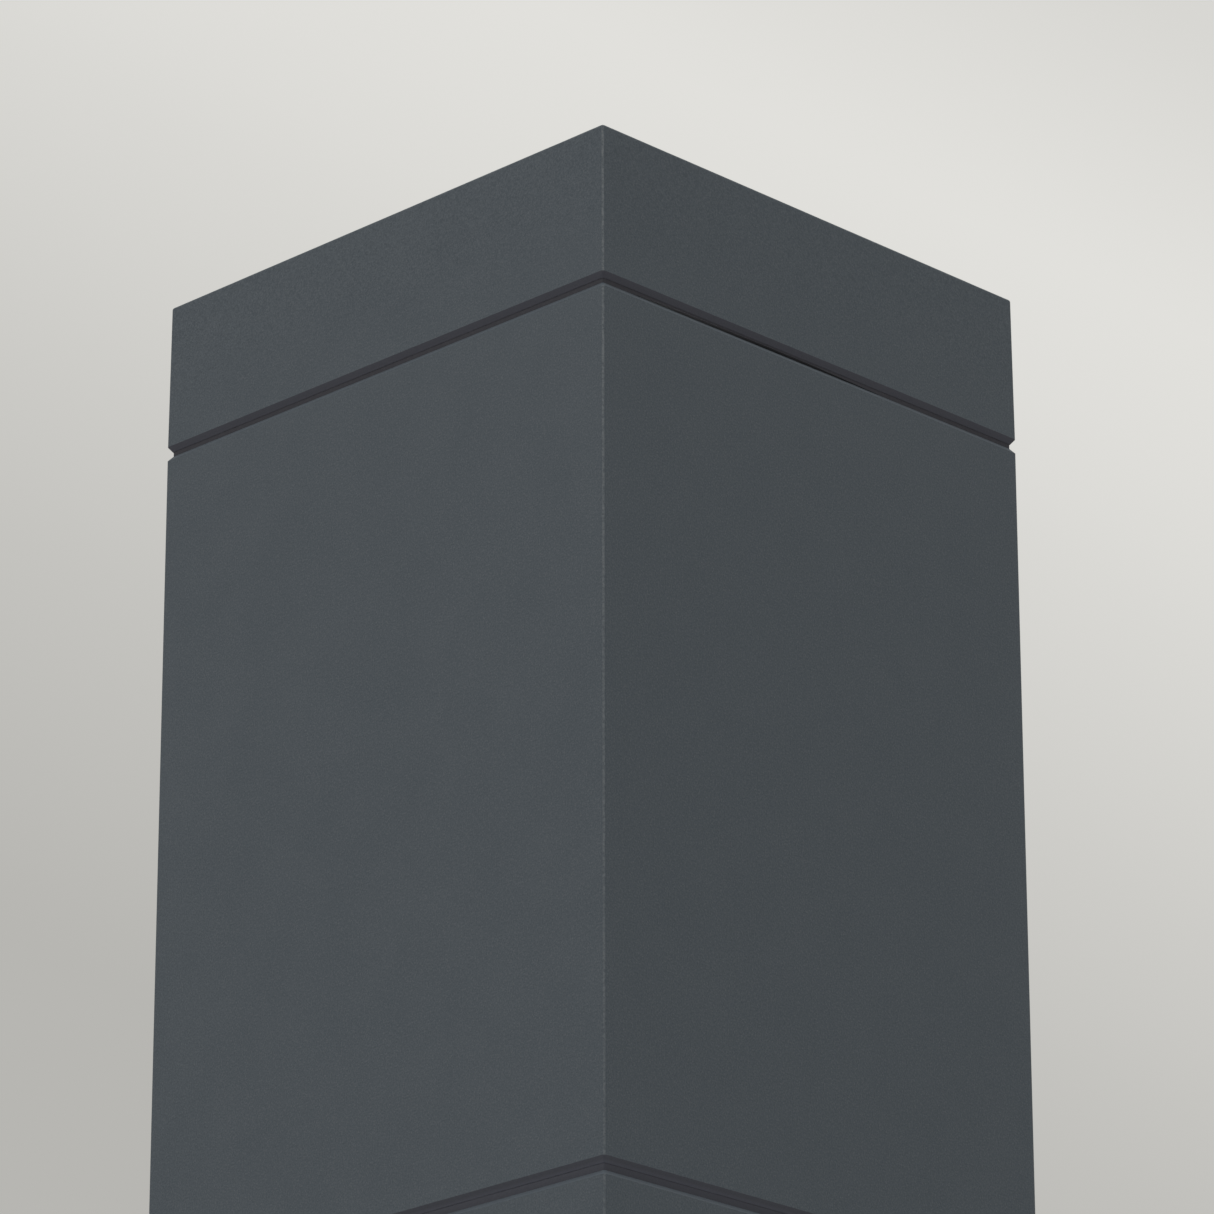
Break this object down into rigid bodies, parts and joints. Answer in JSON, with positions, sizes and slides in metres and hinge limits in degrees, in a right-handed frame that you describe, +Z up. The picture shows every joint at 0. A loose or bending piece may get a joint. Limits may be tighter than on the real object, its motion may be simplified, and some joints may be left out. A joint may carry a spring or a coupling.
{
  "type": "fence post cap",
  "caption": "Long-skirt cap for a square fence or gate post: lift-off lid, plain sleeve and clamping collar, parted by bevelled shadow grooves, over a stop plate and post guides.",
  "frame": {"origin": "centre of the collar's lower end face, where the post goes in", "axes": "+Z up along the post, out through the lid; +X square to the side with the clamp screws, the narrower outside face; -Y is the front, wider face"},
  "size_m": [0.105, 0.1, 0.2015],
  "materials": {
    "powder_coat": "matte fine-textured anthracite powder coat on aluminium",
    "frame_plastic": "matte black moulded polyamide, fine spark texture",
    "seal_rubber": "matte black EPDM",
    "stainless_steel": "satin stainless steel",
    "spring_steel": "satin spring steel strip",
    "zinc_plated_steel": "satin zinc-plated steel",
    "black_steel": "matte black-oxide steel"
  },
  "bodies": {
    "root": {"skirt_sleeve": "powder_coat", "stop_plate": "zinc_plated_steel", "stop_pad": "seal_rubber", "upper_guide": "frame_plastic", "stop_plate_screws": "stainless_steel", "stop_plate_washers": "stainless_steel", "joint_frame": "frame_plastic", "collar": "powder_coat", "joint_screws": "stainless_steel", "joint_screw_washers": "stainless_steel", "wiper_seal": "seal_rubber"},
    "lid": {"cap_lid": "powder_coat", "lid_frame": "frame_plastic", "lid_seal": "seal_rubber", "spring_clip_right": "spring_steel", "spring_clip_left": "spring_steel", "spring_clip_back": "spring_steel", "spring_clip_front": "spring_steel", "clip_rivets": "stainless_steel", "lid_screws": "stainless_steel", "lid_screw_washers": "stainless_steel"},
    "clamp_right": {"clamp_bar_right": "zinc_plated_steel"},
    "clamp_left": {"clamp_bar_left": "zinc_plated_steel"},
    "screw_right_front": {"clamp_screw_right_front": "black_steel"},
    "screw_right_back": {"clamp_screw_right_back": "black_steel"},
    "screw_left_front": {"clamp_screw_left_front": "black_steel"},
    "screw_left_back": {"clamp_screw_left_back": "black_steel"}
  },
  "joints": [
    {"name": "lid_lift", "type": "slide", "parent": "root", "child": "lid", "axis": [0, 0, 1], "range_m": [0, 0.045]},
    {"name": "clamp_right_slide", "type": "slide", "parent": "root", "child": "clamp_right", "axis": [-1, 0, 0], "range_m": [0, 0.002]},
    {"name": "clamp_left_slide", "type": "slide", "parent": "root", "child": "clamp_left", "axis": [1, 0, 0], "range_m": [0, 0.002]},
    {"name": "screw_right_front_turn", "type": "hinge", "parent": "clamp_right", "child": "screw_right_front", "pos_m": [0.0475, -0.02, 0.009], "axis": [-1, 0, 0], "range_deg": [0, 720]},
    {"name": "screw_right_back_turn", "type": "hinge", "parent": "clamp_right", "child": "screw_right_back", "pos_m": [0.0475, 0.02, 0.009], "axis": [-1, 0, 0], "range_deg": [0, 720]},
    {"name": "screw_left_front_turn", "type": "hinge", "parent": "clamp_left", "child": "screw_left_front", "pos_m": [-0.0475, -0.02, 0.009], "axis": [1, 0, 0], "range_deg": [0, 720]},
    {"name": "screw_left_back_turn", "type": "hinge", "parent": "clamp_left", "child": "screw_left_back", "pos_m": [-0.0475, 0.02, 0.009], "axis": [1, 0, 0], "range_deg": [0, 720]}
  ],
  "couplings": [
    {"joint": "screw_right_front_turn", "follows": "clamp_right_slide", "rad_per_m": 6283.2},
    {"joint": "screw_right_back_turn", "follows": "clamp_right_slide", "rad_per_m": 6283.2},
    {"joint": "screw_left_front_turn", "follows": "clamp_left_slide", "rad_per_m": 6283.2},
    {"joint": "screw_left_back_turn", "follows": "clamp_left_slide", "rad_per_m": 6283.2}
  ]
}
